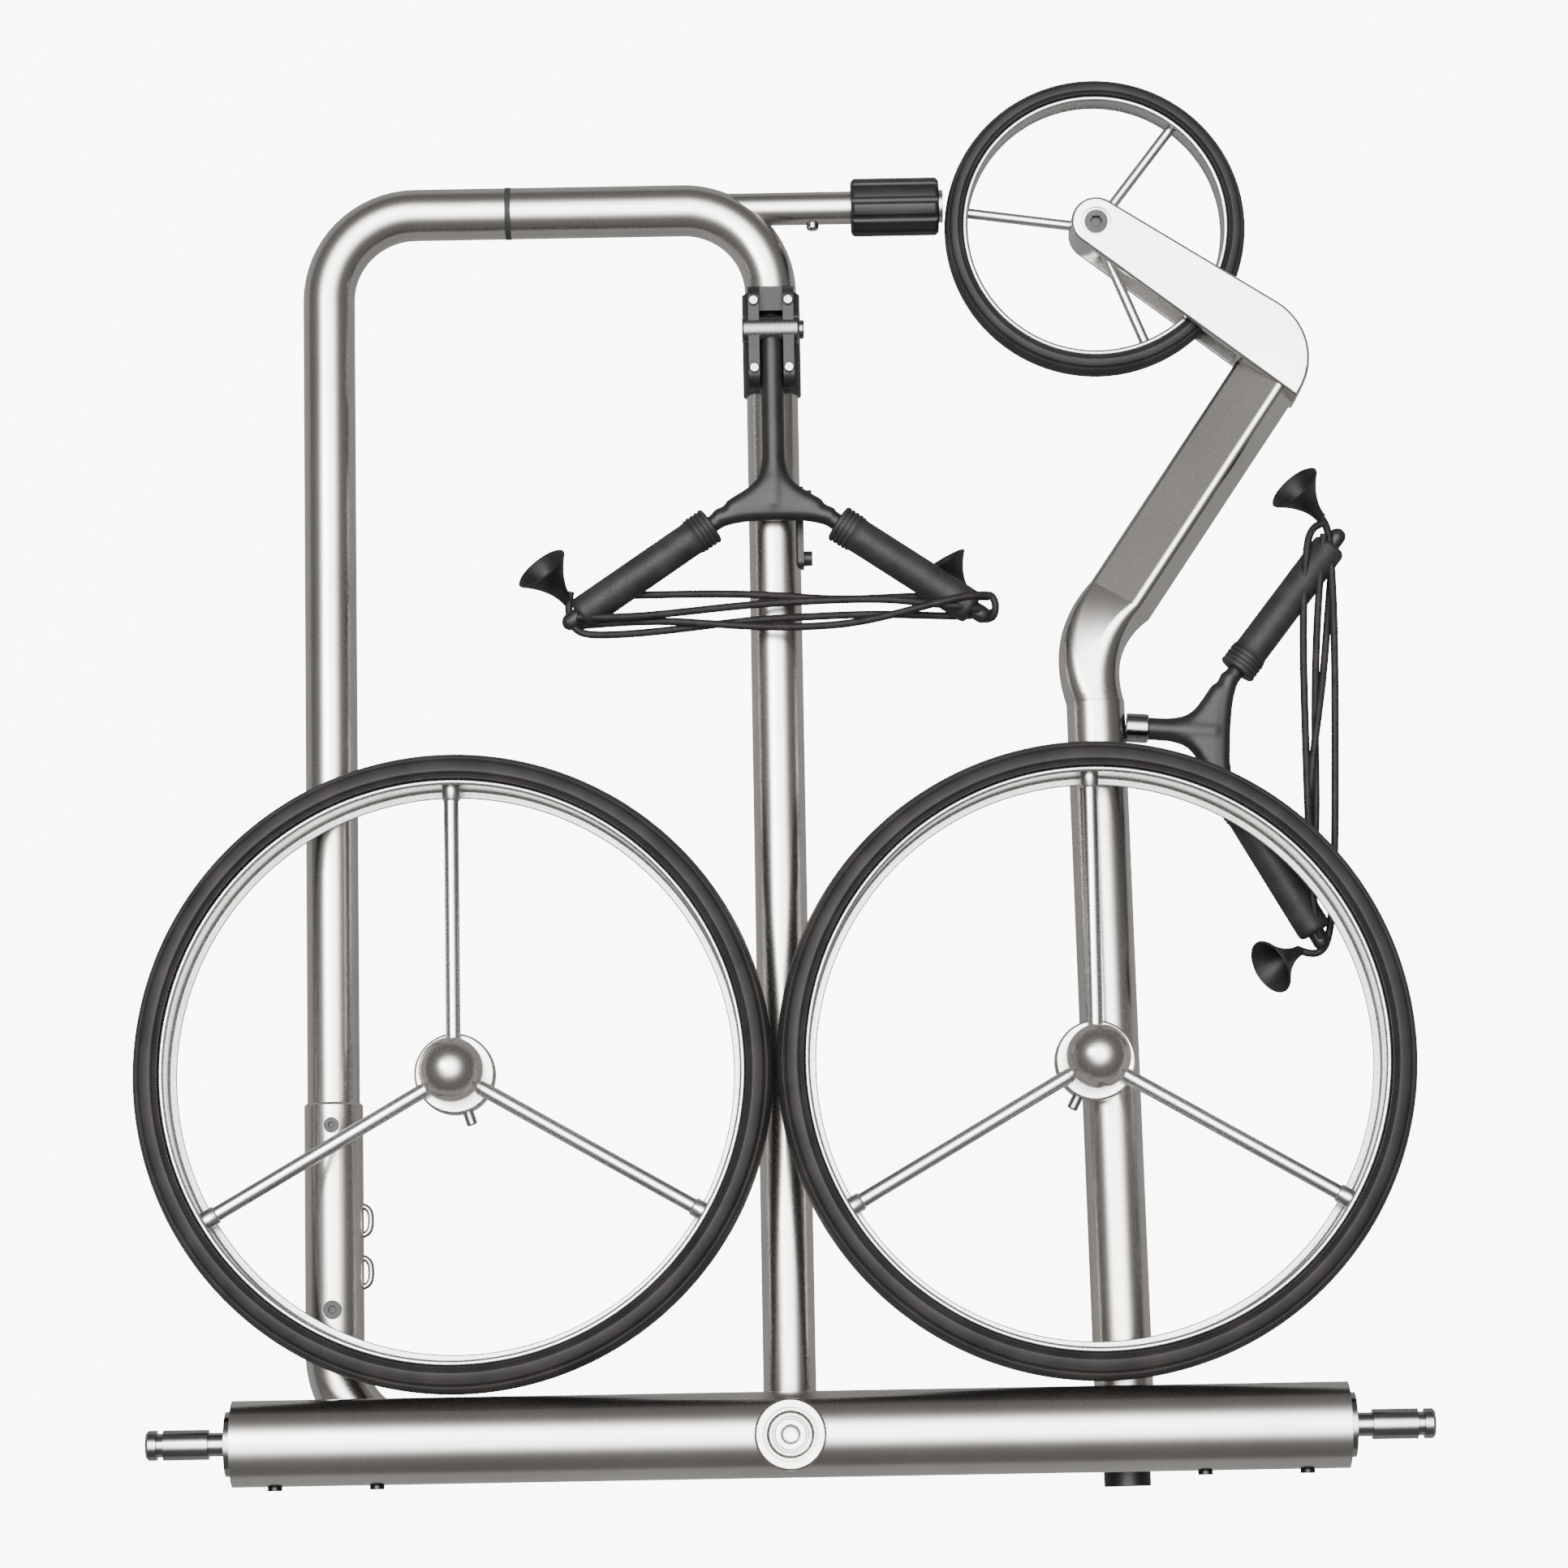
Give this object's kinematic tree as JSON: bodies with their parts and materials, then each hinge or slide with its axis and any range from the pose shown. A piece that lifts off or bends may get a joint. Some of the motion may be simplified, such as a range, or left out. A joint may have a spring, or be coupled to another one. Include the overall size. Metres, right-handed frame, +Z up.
{
  "type": "folding golf trolley",
  "caption": "Folding golf trolley packed flat: satin steel tube frame, two bag yokes with elastic cords, and spoked wheels taken off and laid on the frame.",
  "frame": {"origin": "bottom centre of the packed trolley's bounding box", "axes": "+X along the axle tube, +Y from the axle tube to the handle bends, +Z up from the surface it lies on"},
  "size_m": [0.604, 0.679, 0.085],
  "materials": {
    "satin_steel": "satin",
    "fork_steel": "satin",
    "chrome_pin": "polished",
    "screw_steel": "machined",
    "rim_alloy": "polished",
    "spoke_steel": "satin",
    "hub_steel": "satin",
    "tyre_rubber": "matte",
    "black_plastic": "matte",
    "grip_rubber": "matte",
    "horn_rubber": "matte",
    "cord_elastic": "woven",
    "nylon_bush": "matte",
    "bearing_steel": "ground",
    "ring_black": "matte"
  },
  "bodies": {
    "frame": {"axle_tube": "satin_steel", "cross_boss": "satin_steel", "boss_bolt": "fork_steel", "axle_inserts": "bearing_steel", "stub_axle_left": "chrome_pin", "stub_axle_right": "chrome_pin", "axle_screws": "screw_steel", "centre_tube": "satin_steel", "swivel_bush": "nylon_bush", "yoke_clamp": "black_plastic", "clamp_screws": "chrome_pin", "yoke_hinge_pin": "chrome_pin", "parking_clip": "black_plastic"},
    "crank": {"crank_tube": "satin_steel", "holder_tube": "satin_steel", "joint_spigot": "nylon_bush", "joint_ring": "ring_black"},
    "snap": {"snap_button": "chrome_pin"},
    "knob": {"clamp_knob": "black_plastic"},
    "handle": {"handle_tube": "satin_steel", "handle_sleeve": "satin_steel", "handle_screws": "screw_steel", "strap_loops": "chrome_pin", "hand_grip": "grip_rubber", "grip_core": "bearing_steel", "grip_cap": "black_plastic"},
    "upper_yoke": {"upper_yoke_frame": "black_plastic", "upper_yoke_grips": "grip_rubber", "upper_yoke_horns": "horn_rubber", "upper_yoke_cord": "cord_elastic"},
    "front_arm": {"arm_tube": "satin_steel", "blade_tube": "satin_steel", "fork": "fork_steel", "fork_bolt": "screw_steel", "arm_plug": "black_plastic", "yoke_ferrule": "chrome_pin"},
    "lower_yoke": {"lower_yoke_frame": "black_plastic", "lower_yoke_grips": "grip_rubber", "lower_yoke_horns": "horn_rubber", "lower_yoke_cord": "cord_elastic"},
    "front_wheel": {"front_tyre": "tyre_rubber", "front_rim": "rim_alloy", "front_hub": "hub_steel", "front_spokes": "spoke_steel", "front_bearings": "bearing_steel"},
    "left_core": {"left_hub_core": "hub_steel"},
    "left_wheel": {"left_tyre": "tyre_rubber", "left_rim": "rim_alloy", "left_spokes": "spoke_steel", "left_hub": "hub_steel", "left_bearings": "bearing_steel"},
    "left_button": {"left_release_button": "chrome_pin"},
    "right_core": {"right_hub_core": "hub_steel"},
    "right_wheel": {"right_tyre": "tyre_rubber", "right_rim": "rim_alloy", "right_spokes": "spoke_steel", "right_hub": "hub_steel", "right_bearings": "bearing_steel"},
    "right_button": {"right_release_button": "chrome_pin"}
  },
  "joints": [
    {"name": "left_wheel_lift", "type": "slide", "parent": "frame", "child": "left_core", "axis": [0, 0, 1], "range_m": [0, 0.12]},
    {"name": "left_wheel_spin", "type": "hinge", "parent": "left_core", "child": "left_wheel", "pos_m": [-0.152, -0.1415, 0.05], "axis": [0, 0, 1], "continuous": true},
    {"name": "left_release_press", "type": "slide", "parent": "left_core", "child": "left_button", "axis": [-0.309, 0.9511, 0], "range_m": [0, 0.0025], "stiffness_N_per_m": 400},
    {"name": "right_wheel_lift", "type": "slide", "parent": "frame", "child": "right_core", "axis": [0, 0, 1], "range_m": [0, 0.12]},
    {"name": "right_wheel_spin", "type": "hinge", "parent": "right_core", "child": "right_wheel", "pos_m": [0.1495, -0.1405, 0.05], "axis": [0, 0, 1], "continuous": true},
    {"name": "right_release_press", "type": "slide", "parent": "right_core", "child": "right_button", "axis": [0.454, 0.891, 0], "range_m": [0, 0.0025], "stiffness_N_per_m": 400},
    {"name": "crank_swivel", "type": "hinge", "parent": "frame", "child": "crank", "pos_m": [0.003, 0.2075, 0.0142], "axis": [0, -1, 0], "range_deg": [0, 90]},
    {"name": "handle_fold", "type": "hinge", "parent": "crank", "child": "handle", "pos_m": [-0.124, 0.2795, 0.0142], "axis": [1, 0, 0], "range_deg": [0, 180]},
    {"name": "knob_turn", "type": "hinge", "parent": "crank", "child": "knob", "pos_m": [0.063, 0.2795, 0.0142], "axis": [1, 0, 0], "range_deg": [0, 270]},
    {"name": "snap_press", "type": "slide", "parent": "crank", "child": "snap", "axis": [0, 1, 0], "range_m": [0, 0.002], "stiffness_N_per_m": 400},
    {"name": "upper_yoke_fold", "type": "hinge", "parent": "frame", "child": "upper_yoke", "pos_m": [0.003, 0.2145, 0.036], "axis": [-1, 0, 0], "range_deg": [0, 95]},
    {"name": "front_arm_pull", "type": "slide", "parent": "frame", "child": "front_arm", "axis": [0, 1, 0], "range_m": [0, 0.65]},
    {"name": "lower_yoke_turn", "type": "hinge", "parent": "front_arm", "child": "lower_yoke", "pos_m": [0.157, 0.022, 0.0162], "axis": [0.9976, -0.0698, 0], "range_deg": [0, 90]},
    {"name": "front_wheel_spin", "type": "hinge", "parent": "front_arm", "child": "front_wheel", "pos_m": [0.161, 0.2665, 0.0162], "axis": [0, 0, 1], "continuous": true}
  ]
}
